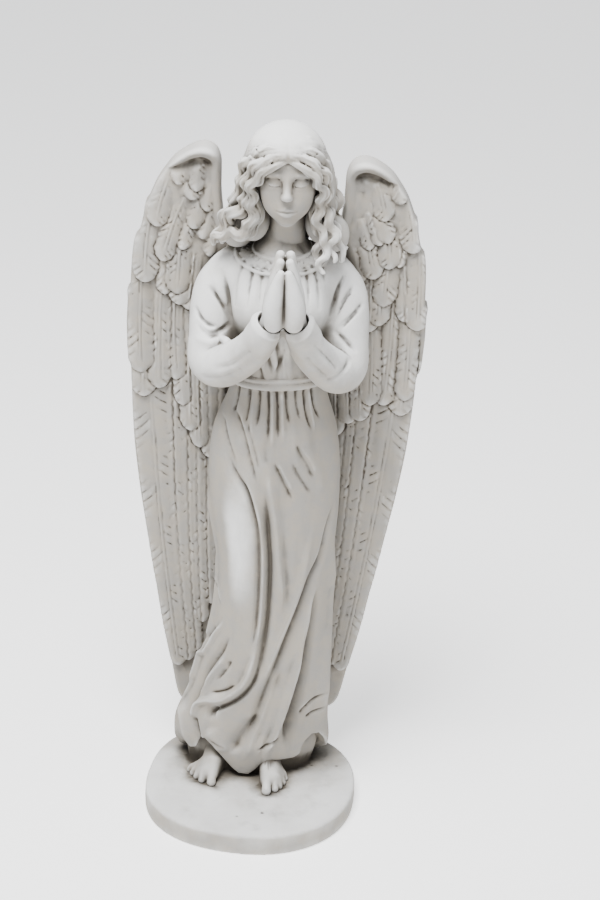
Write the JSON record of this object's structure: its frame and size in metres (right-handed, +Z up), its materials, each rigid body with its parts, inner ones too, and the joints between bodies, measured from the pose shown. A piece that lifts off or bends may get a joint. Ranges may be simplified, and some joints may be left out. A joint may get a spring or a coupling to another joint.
{
  "type": "cemetery angel statue",
  "caption": "Standing angel in a long gown with folded wings and praying hands, cast with its low oval base.",
  "frame": {"origin": "centre of the base's flat underside", "axes": "+Z up, the figure faces -Y, +X to a viewer's right when looking at its face"},
  "size_m": [0.4029, 0.286, 0.987],
  "materials": {
    "cast_stone": "matte, weathered pale grey with dirt in the hollows"
  },
  "bodies": {
    "root": {"angel_statue": "cast_stone"}
  },
  "joints": []
}
